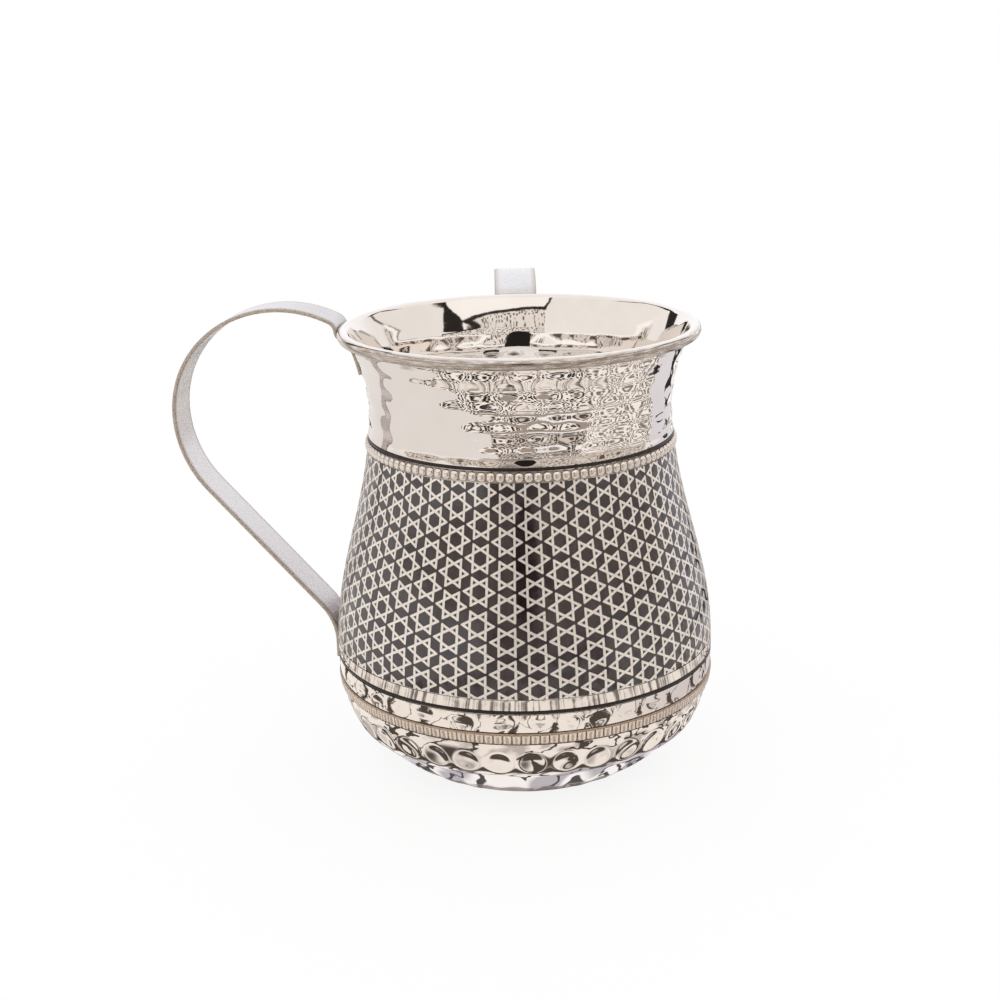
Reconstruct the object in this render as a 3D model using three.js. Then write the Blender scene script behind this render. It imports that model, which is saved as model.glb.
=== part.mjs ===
import * as THREE from 'three';

// Two-handled washing cup of drawn sheet steel, in millimetres, +Z up.
// The origin is the middle of the flat base. The rear handle stands on +Y.

// Outline of the cup, from the base up
const baseRadius = 36;
const heelRadius = 55;
const heelHeight = 14.5;
const bellyRadius = 60.3;
const bellyHeight = 39;
const waistRadius = 47.5;
const waistRise = 76;
const mouthRise = 26;
const bowlCurveShare = 0.775;
const sideCurveShare = 2.8;

// Sheet and rolled rim
const wall = 1;
const rimRadius = 56;
const curlRadius = 1.8;
const curlGap = 0.3;

// Hammering: a staggered field on the neck, a row of round dimples at the heel, facets under it
const neckDimpleCount = 32;
const neckDimpleDepth = 0.5;
const neckRowCount = 5;
const heelDimpleCount = 36;
const heelDimpleRadius = 3.9;
const heelDimpleDepth = 0.8;
const heelDimpleRise = 5;
const bowlFacetCount = 30;
const bowlFacetDepth = 0.6;

// Bands that lie in the wall, each with its height measured up the cup
const seatDepth = 0.45;
const seatGap = 0.25;
const milledRingDrop = 8.5;
const milledRingHeight = 3.7;
const milledTongueCount = 136;
const milledTongueProud = 0.5;
const milledHollowProud = 0.3;
const milledGrooveProud = 0.05;
const lineHeight = 0.95;
const lowerLineDrop = 1.45;
const plainStripHeight = 3.7;
const starFieldHeight = 61.95;
const pearlRingHeight = 2.95;
const pearlCount = 110;
const pearlProud = 0.8;
const pearlRimProud = 0.1;
const pearlShoulderShare = 0.28;

// Strip handles, both bent on one former
const stripWidth = 14.2;
const stripThickness = 1.2;
const weldGap = 0.3;
const loopProjection = 54.8;
const loopRise = 4.7;
const loopRadius = 36;
const loopRiseShare = 0.944;
const neckFootDrop = 15.2;
const neckBendRadius = 1.5;
const bellyBendRadius = 18;
const bellyFootLength = 5.8;
const sideHandleDegrees = 171;
const rearHandleDegrees = 90;

// Fineness of the mesh
const plainCount = 48;
const insideCount = 40;
const neckCount = 4 * neckDimpleCount;
const neckBands = 2 * neckRowCount;
const starBands = 4;
const heelCount = 4 * heelDimpleCount;
const bowlCount = 2 * bowlFacetCount;
const slopeStep = 0.01;

// Heights that follow from the sizes above
const waistHeight = bellyHeight + waistRise;
const cupHeight = waistHeight + mouthRise;
const milledRingTop = bellyHeight - milledRingDrop;
const milledRingBottom = milledRingTop - milledRingHeight;
const lowerLineTop = bellyHeight - lowerLineDrop;
const lowerLineBottom = lowerLineTop - lineHeight;
const starFieldBottom = lowerLineTop + plainStripHeight;
const starFieldTop = starFieldBottom + starFieldHeight;
const pearlRingBottom = starFieldTop + seatGap;
const pearlRingTop = pearlRingBottom + pearlRingHeight;
const upperLineBottom = pearlRingTop + seatGap;
const upperLineTop = upperLineBottom + lineHeight;
const neckBottom = upperLineTop + seatGap;
const curlAxisRadius = rimRadius - curlRadius;
const curlAxisHeight = cupHeight - curlRadius;
const curlHollowRadius = curlRadius - wall;

const fullTurn = 2 * Math.PI;
const quarterTurn = Math.PI / 2;

// Halves an interval until the function that rises through zero on it is pinned down.
function bisect(low, high, excess) {
  const halvings = 50;
  let below = low;
  let above = high;
  for (let i = 0; i < halvings; i += 1) {
    const middle = (below + above) / 2;
    if (excess(middle) < 0) below = middle;
    else above = middle;
  }
  return (below + above) / 2;
}

// The flare is a parabola from the waist that runs into the hollow of the curl without a kink.
function flareEnd() {
  const lean = bisect(0, quarterTurn, (angle) => {
    const run = curlAxisRadius - curlHollowRadius * Math.cos(angle) - waistRadius;
    const rise = curlAxisHeight + curlHollowRadius * Math.sin(angle) - waistHeight;
    return angle - Math.atan2(2 * run, rise);
  });
  const radius = curlAxisRadius - curlHollowRadius * Math.cos(lean);
  const height = curlAxisHeight + curlHollowRadius * Math.sin(lean);
  return { lean, radius, height };
}

const flare = flareEnd();

// Radius of the cup's outer face at a height: a bowed bowl, a quick turn at the heel up to the belly,
// half a cosine wave in to the waist, and the flare.
function cupRadius(height) {
  if (height <= heelHeight) {
    const climb = Math.max(height, 0) / heelHeight;
    return baseRadius + (heelRadius - baseRadius) * climb ** bowlCurveShare;
  }
  if (height <= bellyHeight) {
    const left = (bellyHeight - height) / (bellyHeight - heelHeight);
    return bellyRadius - (bellyRadius - heelRadius) * left ** sideCurveShare;
  }
  if (height <= waistHeight) {
    const climb = (height - bellyHeight) / waistRise;
    const wave = (1 + Math.cos(Math.PI * climb)) / 2;
    return waistRadius + (bellyRadius - waistRadius) * wave;
  }
  const climb = (height - waistHeight) / (flare.height - waistHeight);
  return waistRadius + (flare.radius - waistRadius) * climb ** 2;
}

function cupSlope(height) {
  return (cupRadius(height + slopeStep) - cupRadius(height - slopeStep)) / (2 * slopeStep);
}

// A point that stands proud of the outer face by some amount, square to it, as [radius, height].
function facePoint(height, proud) {
  const slope = cupSlope(height);
  const reach = Math.hypot(1, slope);
  return [cupRadius(height) + proud / reach, height - (proud * slope) / reach];
}

// Staggered hammer marks: a wave round the cup times a wave up it, so neighbouring rows alternate.
function neckDimple(angle, height) {
  const climb = (height - neckBottom) / (flare.height - neckBottom);
  const row = Math.sin(Math.PI * neckRowCount * climb);
  return (-neckDimpleDepth * (1 + Math.cos(neckDimpleCount * angle) * row)) / 2;
}

// One round dished dimple for each pitch, measured straight from its middle.
function heelDimple(angle, height) {
  const pitch = fullTurn / heelDimpleCount;
  const turn = angle - Math.round(angle / pitch) * pitch;
  const middle = heelHeight + heelDimpleRise;
  const radius = cupRadius(height);
  const across = radius * turn;
  const out = radius - cupRadius(middle);
  const away = Math.hypot(across, out, height - middle) / heelDimpleRadius;
  return -heelDimpleDepth * Math.max(0, 1 - away ** 2);
}

// Broad flats between the base and the heel, deepest half way up.
function bowlFacet(angle, height) {
  const climb = Math.sin((Math.PI * height) / heelHeight);
  return (-bowlFacetDepth * climb * (1 + Math.cos(bowlFacetCount * angle))) / 2;
}

// A ring of points round the axis, anticlockwise from above. place gives [radius, height] at an angle.
function ring(count, place) {
  const points = [];
  for (let i = 0; i < count; i += 1) {
    const angle = (i / count) * fullTurn;
    const [radius, height] = place(angle, i);
    points.push([radius * Math.cos(angle), radius * Math.sin(angle), height]);
  }
  return points;
}

function plainRing(count, radius, height) {
  return ring(count, () => [radius, height]);
}

function faceRing(count, height, proud) {
  const [radius, rise] = facePoint(height, proud);
  return plainRing(count, radius, rise);
}

function dimpledRing(count, height, dimple) {
  return ring(count, (angle) => facePoint(height, dimple(angle, height)));
}

// Heights spread evenly over a zone, with its two ends left out or kept.
function spread(from, to, bands, firstStep, lastStep) {
  const heights = [];
  for (let step = firstStep; step <= lastStep; step += 1) {
    heights.push(from + ((to - from) * step) / bands);
  }
  return heights;
}

// Joins two neighbouring rings with triangles, whatever their counts. One point makes a fan.
// Between equal counts the diagonals alternate, so that they meet in the middle of each dimple.
function zip(indices, lower, upper) {
  const alternates = lower.count === upper.count;
  let i = 0;
  let j = 0;
  while (i < lower.count || j < upper.count) {
    const upperFirst = alternates && i === j && (i + lower.row) % 2 === 0;
    const lowerNext = !upperFirst && (i + 1) * upper.count <= (j + 1) * lower.count;
    const a = lower.start + (i % lower.count);
    const b = upper.start + (j % upper.count);
    if (j === upper.count || (i < lower.count && lowerNext)) {
      if (lower.count > 1) indices.push(a, lower.start + ((i + 1) % lower.count), b);
      i += 1;
    } else {
      if (upper.count > 1) indices.push(a, upper.start + ((j + 1) % upper.count), b);
      j += 1;
    }
  }
}

function geometryOf(points, indices) {
  const geometry = new THREE.BufferGeometry();
  geometry.setAttribute('position', new THREE.Float32BufferAttribute(points.flat(), 3));
  geometry.setIndex(indices);
  geometry.computeVertexNormals();
  return geometry;
}

// A solid skinned over rings. A closed one runs from its last ring back to its first.
function skin(rings, closed) {
  const points = [];
  const spans = [];
  let previous = { count: 0, row: 0 };
  for (const each of rings) {
    const row = each.length === previous.count ? previous.row + 1 : 0;
    previous = { start: points.length, count: each.length, row };
    spans.push(previous);
    points.push(...each);
  }
  const indices = [];
  for (let k = 0; k + 1 < spans.length; k += 1) zip(indices, spans[k], spans[k + 1]);
  if (closed) zip(indices, spans[spans.length - 1], spans[0]);
  return geometryOf(points, indices);
}

// A seat is a step cut into the outer face, square to it. Its floor bends where the bands in it do.
function seatRings(bottom, top, bends) {
  return [
    faceRing(plainCount, bottom, 0),
    ...[bottom, ...bends, top].map((height) => faceRing(plainCount, height, -seatDepth)),
    faceRing(plainCount, top, 0),
  ];
}

function curlRings(radius, fromAngle, toAngle, bands) {
  return spread(fromAngle, toAngle, bands, 0, bands).map((angle) => {
    const out = curlAxisRadius + radius * Math.cos(angle);
    return plainRing(plainCount, out, curlAxisHeight + radius * Math.sin(angle));
  });
}

// The sheet runs up the outside, rolls over into the open curl, and comes back down the inside.
function cupBody() {
  const bowlBands = 4;
  const heelBands = 5;
  const sideBands = 2;
  const curlBands = 6;
  const hollowBands = 3;
  const insideBands = 7;
  const heelTop = milledRingBottom - seatGap;
  const curlStart = Math.PI - flare.lean;
  const curlTurn = fullTurn - Math.acos((curlHollowRadius - curlGap) / curlRadius);
  const curlEnd = curlStart - curlTurn;
  const rings = [plainRing(1, 0, 0), plainRing(bowlCount, baseRadius, 0)];
  for (const height of spread(0, heelHeight, bowlBands, 1, bowlBands - 1)) {
    rings.push(dimpledRing(bowlCount, height, bowlFacet));
  }
  for (const height of spread(heelHeight, heelTop, heelBands, 0, heelBands - 1)) {
    rings.push(dimpledRing(heelCount, height, heelDimple));
  }
  rings.push(...seatRings(heelTop, milledRingTop + seatGap, []));
  rings.push(...seatRings(lowerLineBottom - seatGap, lowerLineTop + seatGap, []));
  const starBends = spread(starFieldBottom, starFieldTop, starBands, 1, starBands - 1);
  const upperBends = [...starBends, starFieldTop + seatGap / 2, pearlRingTop + seatGap / 2];
  rings.push(...seatRings(starFieldBottom - seatGap, neckBottom, upperBends));
  for (const height of spread(neckBottom, flare.height, neckBands, 1, neckBands - 1)) {
    rings.push(dimpledRing(neckCount, height, neckDimple));
  }
  rings.push(...curlRings(curlHollowRadius, curlStart, curlEnd, hollowBands));
  rings.push(...curlRings(curlRadius, curlEnd, curlStart, curlBands));
  for (const height of spread(flare.height, bellyHeight, insideBands, 1, insideBands)) {
    rings.push(faceRing(insideCount, height, -wall));
  }
  for (const height of spread(bellyHeight, heelHeight, sideBands, 1, sideBands)) {
    rings.push(faceRing(insideCount, height, -wall));
  }
  for (const height of spread(heelHeight, 0, sideBands, 1, sideBands - 1)) {
    rings.push(faceRing(insideCount, height, -wall));
  }
  rings.push(plainRing(insideCount, baseRadius, wall), plainRing(1, 0, wall));
  return skin(rings, false);
}

// A band laid in a seat: its face follows the cup, its back keeps the seat gap.
function inlay(bottom, top, bands, proud) {
  const back = seatGap - seatDepth;
  const rings = [];
  for (const height of spread(bottom, top, bands, 0, bands)) {
    rings.push(faceRing(plainCount, height, proud));
  }
  for (const height of spread(top, bottom, bands, 0, bands)) {
    rings.push(faceRing(plainCount, height, back));
  }
  return skin(rings, true);
}

// A ring whose face steps through the same few heights again for every pearl or tongue.
function toothedRing(count, height, steps) {
  return ring(count * steps.length, (angle, i) => facePoint(height, steps[i % steps.length]));
}

function pearlRing() {
  const back = seatGap - seatDepth;
  const low = pearlRingBottom + pearlRingHeight * pearlShoulderShare;
  const high = pearlRingTop - pearlRingHeight * pearlShoulderShare;
  const rim = [pearlRimProud, pearlRimProud];
  const pearl = [pearlProud, pearlRimProud];
  return skin([
    faceRing(plainCount, pearlRingBottom, back),
    toothedRing(pearlCount, pearlRingBottom, rim),
    toothedRing(pearlCount, low, pearl),
    toothedRing(pearlCount, high, pearl),
    toothedRing(pearlCount, pearlRingTop, rim),
    faceRing(plainCount, pearlRingTop, back),
  ], true);
}

// Upright tongues with a deep groove between two and a shallow hollow down the middle of each.
function milledRing() {
  const back = seatGap - seatDepth;
  const tongue = [milledGrooveProud, milledTongueProud, milledHollowProud, milledTongueProud];
  return skin([
    faceRing(plainCount, milledRingBottom, back),
    toothedRing(milledTongueCount, milledRingBottom, tongue),
    toothedRing(milledTongueCount, milledRingTop, tongue),
    faceRing(plainCount, milledRingTop, back),
  ], true);
}

// Points round an arc of the strip's middle line, with the saddle going from one share to another.
function arcStations(centre, radii, fromAngle, toAngle, bands, fromSaddle, toSaddle) {
  const stations = [];
  for (let step = 0; step <= bands; step += 1) {
    const share = step / bands;
    const angle = fromAngle + (toAngle - fromAngle) * share;
    stations.push({
      out: centre[0] + radii[0] * Math.cos(angle),
      up: centre[1] + radii[1] * Math.sin(angle),
      saddle: fromSaddle + (toSaddle - fromSaddle) * share,
    });
  }
  return stations;
}

// Upper foot: up the neck under the rim, then a tight bend that turns the strip level below the curl.
function neckFootStations(standOff, wrapRadius) {
  const levelHeight = curlAxisHeight - wrapRadius;
  const footBands = 3;
  const bendBands = 3;
  const leadAt = (height) => Math.atan2(1, cupSlope(height));
  const footTop = bisect(waistHeight, curlAxisHeight, (height) => {
    const rise = neckBendRadius * (1 - Math.cos(leadAt(height)));
    return facePoint(height, standOff)[1] + rise - levelHeight;
  });
  const stations = spread(cupHeight - neckFootDrop, footTop, footBands, 0, footBands - 1)
    .map((height) => {
      const [out, up] = facePoint(height, standOff);
      return { out, up, saddle: 1 };
    });
  const [footOut] = facePoint(footTop, standOff);
  const lead = leadAt(footTop);
  const centre = [footOut + neckBendRadius * Math.sin(lead), levelHeight - neckBendRadius];
  const radii = [neckBendRadius, neckBendRadius];
  stations.push(...arcStations(centre, radii, lead + quarterTurn, quarterTurn, bendBands, 1, 1));
  return stations;
}

// Where the loop takes over: a bend that rises beside the curl and meets the loop's oval smoothly.
function loopEntry(centre, radii, sideRadius) {
  const bendAt = (angle) => {
    const out = centre[0] + radii[0] * Math.cos(angle);
    const up = centre[1] + radii[1] * Math.sin(angle);
    const lead = Math.atan2(-radii[1] * Math.cos(angle), radii[0] * Math.sin(angle));
    const radius = (out - sideRadius) / (1 - Math.sin(lead));
    return { angle, lead, radius, centreHeight: up - radius * Math.cos(lead) };
  };
  const last = Math.acos((sideRadius - centre[0]) / radii[0]);
  return bendAt(bisect(quarterTurn, last, (angle) => bendAt(angle).centreHeight - curlAxisHeight));
}

// Lower run: leaves the loop at the angle that lets the last bend lay the foot above the milled ring.
function bellyFootStations(centre, standOff) {
  const footBottom = milledRingTop + seatGap + weldGap;
  const footTop = footBottom + bellyFootLength;
  const footBands = 2;
  const bendBands = 5;
  const footOut = Math.max(cupRadius(footBottom), cupRadius(footTop)) + standOff;
  const runAt = (steepness) => {
    const out = centre[0] + loopRadius * Math.sin(steepness);
    const up = centre[1] - loopRadius * Math.cos(steepness);
    const turn = quarterTurn - steepness;
    const meet = up - (out - footOut) * Math.tan(steepness);
    return { out, up, turn, bendEnd: meet - bellyBendRadius * Math.tan(turn / 2) };
  };
  const shallow = quarterTurn / 4;
  const steep = quarterTurn - shallow;
  const steepness = bisect(shallow, steep, (angle) => footTop - runAt(angle).bendEnd);
  const { turn } = runAt(steepness);
  const bendCentre = [footOut + bellyBendRadius, footTop];
  const bendRadii = [bellyBendRadius, bellyBendRadius];
  const bend = arcStations(bendCentre, bendRadii, Math.PI - turn, Math.PI, bendBands, 0, 1);
  const foot = spread(footTop, footBottom, footBands, 1, footBands)
    .map((up) => ({ out: footOut, up, saddle: 1 }));
  return { steepness, stations: [...bend, ...foot] };
}

// The strip's middle line in its own upright plane, from the foot under the rim to the foot on the belly.
function handleStations() {
  const standOff = weldGap + stripThickness / 2;
  const wrapRadius = curlRadius + standOff;
  const wrapBands = 4;
  const entryBands = 3;
  const loopBands = 14;
  const underBands = 4;
  const sideRadius = curlAxisRadius + wrapRadius;
  const radii = [loopRadius, loopRadius * loopRiseShare];
  const centre = [rimRadius + loopProjection - loopRadius, cupHeight + loopRise - radii[1]];
  const curlAxis = [curlAxisRadius, curlAxisHeight];
  const entry = loopEntry(centre, radii, sideRadius);
  const belly = bellyFootStations(centre, standOff);
  const wrapRadii = [wrapRadius, wrapRadius];
  const entryCentre = [sideRadius + entry.radius, curlAxisHeight];
  const entryRadii = [entry.radius, entry.radius];
  const overTop = arcStations(centre, radii, entry.angle, 0, loopBands, 0, 0);
  const loopEnd = belly.steepness - quarterTurn;
  const under = arcStations(centre, [loopRadius, loopRadius], 0, loopEnd, underBands, 0, 0);
  return [
    ...neckFootStations(standOff, wrapRadius),
    ...arcStations(curlAxis, wrapRadii, -quarterTurn, 0, wrapBands, 1, 1).slice(1),
    ...arcStations(entryCentre, entryRadii, Math.PI, quarterTurn + entry.lead, entryBands, 1, 0).slice(1),
    ...overTop.slice(1),
    ...under.slice(1),
    ...belly.stations,
  ];
}

// A flat strip along the stations. At the feet the section is saddled to the round of the cup.
function stripHandle() {
  const acrossBands = 3;
  const stations = handleStations();
  const offsets = spread(-stripWidth / 2, stripWidth / 2, acrossBands, 0, acrossBands);
  const points = [];
  const indices = [];
  stations.forEach((station, k) => {
    const before = stations[Math.max(k - 1, 0)];
    const after = stations[Math.min(k + 1, stations.length - 1)];
    const reach = Math.hypot(after.out - before.out, after.up - before.up);
    const normal = [(after.up - before.up) / reach, (before.out - after.out) / reach];
    const pointAt = (offset, side) => {
      const sag = station.out - Math.sqrt(station.out ** 2 - offset ** 2);
      const out = station.out + (side * normal[0] * stripThickness) / 2 - sag * station.saddle;
      return [out, offset, station.up + (side * normal[1] * stripThickness) / 2];
    };
    offsets.forEach((offset) => points.push(pointAt(offset, 1)));
    [...offsets].reverse().forEach((offset) => points.push(pointAt(offset, -1)));
  });
  const around = 2 * offsets.length;
  for (let k = 0; k + 1 < stations.length; k += 1) {
    for (let i = 0; i < around; i += 1) {
      const a = k * around + i;
      const b = k * around + ((i + 1) % around);
      indices.push(a, b, b + around, a, b + around, a + around);
    }
  }
  const last = (stations.length - 1) * around;
  for (let i = 0; i < acrossBands; i += 1) {
    const j = around - 1 - i;
    indices.push(i, j, j - 1, i, j - 1, i + 1);
    indices.push(last + i, last + j - 1, last + j, last + i, last + i + 1, last + j - 1);
  }
  return geometryOf(points, indices);
}

function steel(colour, roughness, flatShading = false) {
  return new THREE.MeshStandardMaterial({ color: colour, metalness: 1, roughness, flatShading });
}

function enamel() {
  return new THREE.MeshStandardMaterial({ color: 0x3b3433, metalness: 0.2, roughness: 0.35 });
}

const cup = new THREE.Group();

function addPiece(name, geometry, material, turnDegrees = 0) {
  const mesh = new THREE.Mesh(geometry, material);
  mesh.name = name;
  mesh.rotation.z = THREE.MathUtils.degToRad(turnDegrees);
  cup.add(mesh);
}

addPiece('cup_body', cupBody(), steel(0xdcd7d2, 0.15));
addPiece('star_field_enamel', inlay(starFieldBottom, starFieldTop, starBands, 0), enamel());
addPiece('upper_enamel_line', inlay(upperLineBottom, upperLineTop, 1, 0), enamel());
addPiece('lower_enamel_line', inlay(lowerLineBottom, lowerLineTop, 1, 0), enamel());
addPiece('upper_pearl_ring', pearlRing(), steel(0xcfc3b4, 0.4, true));
addPiece('lower_milled_ring', milledRing(), steel(0xbba790, 0.5, true));
addPiece('side_handle', stripHandle(), steel(0xd6d2d6, 0.3), sideHandleDegrees);
addPiece('rear_handle', stripHandle(), steel(0xd6d2d6, 0.3), rearHandleDegrees);

export default cup;
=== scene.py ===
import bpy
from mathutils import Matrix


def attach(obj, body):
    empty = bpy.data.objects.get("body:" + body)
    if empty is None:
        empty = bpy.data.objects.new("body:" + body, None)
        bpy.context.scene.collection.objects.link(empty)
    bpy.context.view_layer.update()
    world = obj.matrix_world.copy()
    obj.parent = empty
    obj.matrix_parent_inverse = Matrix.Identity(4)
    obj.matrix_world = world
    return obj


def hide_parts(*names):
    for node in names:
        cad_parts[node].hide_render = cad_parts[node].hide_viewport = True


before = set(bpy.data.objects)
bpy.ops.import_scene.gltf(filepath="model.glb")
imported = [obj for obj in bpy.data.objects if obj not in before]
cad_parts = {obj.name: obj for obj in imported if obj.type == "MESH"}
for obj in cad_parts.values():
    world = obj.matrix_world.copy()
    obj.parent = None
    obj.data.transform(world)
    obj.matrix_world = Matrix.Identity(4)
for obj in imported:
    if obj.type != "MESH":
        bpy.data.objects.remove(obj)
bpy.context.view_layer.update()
print("nodes:", sorted(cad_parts))

# %% [markdown]
# # A two-handled washing cup
# A cup hammered from steel sheet, with a band of stars and enamel between raised rings, and two
# strip handles. Its solids come packed, in metres. Every piece that shows is made again here at a
# finer grain, in the same place.

# %% Tools and units
import math

import bmesh
import bpy
import numpy as np
from mathutils import Matrix

MM = 0.001
METRES_TO_MM = 1000
FULL_TURN = 2 * math.pi
QUARTER_TURN = math.pi / 2
DEGREES = 180 / math.pi

# %% [markdown]
# ## The outline of the cup
# The cup is round, so one curve turned about an axis gives its whole body. The sizes are the ones
# that the solids were made with. Lengths are millimetres until a mesh is written.

# %% Sizes of the cup
BASE_RADIUS, HEEL_RADIUS, BELLY_RADIUS, WAIST_RADIUS, MOUTH_RADIUS = 36, 55, 60.3, 47.5, 56
HEEL_HEIGHT, BELLY_HEIGHT, WAIST_HEIGHT, CUP_HEIGHT = 14.5, 39, 115, 141
BOWL_CURVE, SIDE_CURVE = 0.775, 2.8
WALL = 1
CURL_RADIUS, CURL_GAP = 1.8, 0.3
CURL_OUT, CURL_UP = MOUTH_RADIUS - CURL_RADIUS, CUP_HEIGHT - CURL_RADIUS
CURL_HOLLOW = CURL_RADIUS - WALL
SEAT_DEPTH, SEAT_GAP = 0.45, 0.25
RING_BACK = SEAT_GAP - SEAT_DEPTH
MILLED = (26.8, 30.5)
LOWER_LINE = (36.6, 37.55)
STARS = (41.25, 103.2)
PEARLS = (103.45, 106.4)
UPPER_LINE = (106.65, 107.6)
NECK_BOTTOM = UPPER_LINE[1] + SEAT_GAP

# %% The curve itself
HALVINGS = 50
HAIR = 0.01


def bisect(low, high, excess):
    """Halves an interval until the point where excess rises through zero is pinned down."""
    for _ in range(HALVINGS):
        middle = (low + high) / 2
        low, high = (middle, high) if excess(middle) < 0 else (low, middle)
    return (low + high) / 2


def lean_error(angle):
    """How far a lean misses the parabola that starts at the waist and ends in the curl's hollow."""
    run = CURL_OUT - CURL_HOLLOW * math.cos(angle) - WAIST_RADIUS
    rise = CURL_UP + CURL_HOLLOW * math.sin(angle) - WAIST_HEIGHT
    return angle - math.atan2(2 * run, rise)


FLARE_LEAN = bisect(0, QUARTER_TURN, lean_error)
FLARE_RADIUS = CURL_OUT - CURL_HOLLOW * math.cos(FLARE_LEAN)
FLARE_HEIGHT = CURL_UP + CURL_HOLLOW * math.sin(FLARE_LEAN)


def cup_radius(height):
    """Radius of the outer face: a power curve up the bowl, a quick power curve from heel to belly,
    half a cosine wave in to the waist, and a parabola out to the rim."""
    z = np.asarray(height, float)
    bowl = np.clip(z / HEEL_HEIGHT, 0, 1) ** BOWL_CURVE
    side = np.clip((BELLY_HEIGHT - z) / (BELLY_HEIGHT - HEEL_HEIGHT), 0, 1) ** SIDE_CURVE
    wave = (1 + np.cos(math.pi * (z - BELLY_HEIGHT) / (WAIST_HEIGHT - BELLY_HEIGHT))) / 2
    flare = ((z - WAIST_HEIGHT) / (FLARE_HEIGHT - WAIST_HEIGHT)) ** 2
    return np.select(
        [z <= HEEL_HEIGHT, z <= BELLY_HEIGHT, z <= WAIST_HEIGHT],
        [
            BASE_RADIUS + (HEEL_RADIUS - BASE_RADIUS) * bowl,
            BELLY_RADIUS - (BELLY_RADIUS - HEEL_RADIUS) * side,
            WAIST_RADIUS + (BELLY_RADIUS - WAIST_RADIUS) * wave,
        ],
        WAIST_RADIUS + (FLARE_RADIUS - WAIST_RADIUS) * flare,
    )


def cup_slope(height):
    """How fast the radius grows with height, from two heights a hair apart."""
    return (cup_radius(height + HAIR) - cup_radius(height - HAIR)) / (2 * HAIR)


def face_point(height, proud):
    """Radius and height of a point that stands proud of the outer face, square to it."""
    slope = cup_slope(height)
    reach = np.hypot(1, slope)
    return cup_radius(height) + proud / reach, height - proud * slope / reach


# %% [markdown]
# ## From arrays to meshes
# Each surface below is a grid: rows run along a profile, columns run round the axis. A whole grid
# goes into its mesh at once. A closed profile joins its last row to its first, and an open one ends
# in a point on the axis, so that no surface has a hole.


# %% Grids and meshes
def grid_faces(rows, columns, close_rows):
    """Four-sided faces between neighbouring rows, with the last column joined to the first."""
    row = np.arange(rows if close_rows else rows - 1)[:, None]
    column = np.arange(columns)[None, :]
    here, above = row * columns, ((row + 1) % rows) * columns
    after = (column + 1) % columns
    corners = [here + column, here + after, above + after, above + column]
    return np.stack([np.broadcast_to(c, (len(row), columns)) for c in corners], -1).reshape(-1, 4)


def pole_faces(pole, ring_start, columns, facing_down):
    """Three-sided faces from one point on the axis to a ring."""
    here = ring_start + np.arange(columns)
    after = ring_start + (np.arange(columns) + 1) % columns
    pair = (after, here) if facing_down else (here, after)
    return np.stack([np.full(columns, pole), *pair], -1)


def turned(radius, height, angle):
    """Points of a grid from its radius, height and angle: one circle for each row."""
    radius, height, angle = np.broadcast_arrays(radius, height, angle)
    return np.stack([radius * np.cos(angle), radius * np.sin(angle), height], -1)


def add_object(name, data):
    """An object for a mesh or a camera, linked into the scene."""
    made = bpy.data.objects.new(name, data)
    bpy.context.scene.collection.objects.link(made)
    return made


def make_piece(name, points, faces, slot, node=None, sharp_angle=35, **marks):
    """Writes one mesh in metres, shades it smooth except over sharp edges, and hangs it on the
    part. marks are named values, one for each point, which the finishes read."""
    mesh = bpy.data.meshes.new(name)
    points = np.asarray(points, float).reshape(-1, 3) * MM
    mesh.vertices.add(len(points))
    mesh.vertices.foreach_set("co", points.ravel())
    faces = [np.asarray(f) for f in faces]
    corner_counts = np.concatenate([np.full(len(f), f.shape[1]) for f in faces])
    corners = np.concatenate([f.ravel() for f in faces])
    mesh.loops.add(len(corners))
    mesh.loops.foreach_set("vertex_index", corners)
    mesh.polygons.add(len(corner_counts))
    starts = np.concatenate([[0], np.cumsum(corner_counts)[:-1]])
    mesh.polygons.foreach_set("loop_start", starts)
    mesh.update(calc_edges=True)
    mesh.validate()
    mesh.shade_smooth()
    mesh.set_sharp_from_angle(angle=math.radians(sharp_angle))
    for label, values in marks.items():
        values = np.asarray(values, float)
        kind = "FLOAT" if values.size == len(points) else "FLOAT_VECTOR"
        attribute = mesh.attributes.new(label, kind, "POINT")
        attribute.data.foreach_set("value" if kind == "FLOAT" else "vector", values.ravel())
    piece = add_object(name, mesh)
    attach(piece, "root")
    if node:
        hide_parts(node)
    triangles = int((corner_counts - 2).sum())
    print(f"{name}: {len(points)} points, {triangles} triangles")
    return piece


# %% [markdown]
# ## Hammer marks
# The smith strikes the neck in staggered rows, a row of round blows goes in above the heel, and the
# bowl under it is left with broad flats. On the neck each blow lands a little off its place and
# strikes a little harder or softer, by a seeded draw.

# %% Marks on the neck
chance = np.random.default_rng(5)
NECK_MARKS_ROUND, NECK_MARK_ROWS = 32, 5
NECK_MARK_DEPTH, NECK_ROW_DEPTH = 0.3, 0.14
NECK_MARK_ACROSS, NECK_MARK_UP = 3.0, 2.2
NECK_STRAY_UP, NECK_STRAY_ROUND = 0.45, 0.1
NECK_DEPTH_SPREAD = (0.75, 1.2)
NECK_FADE_LOW, NECK_FADE_HIGH = 1.5, 2.5


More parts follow.
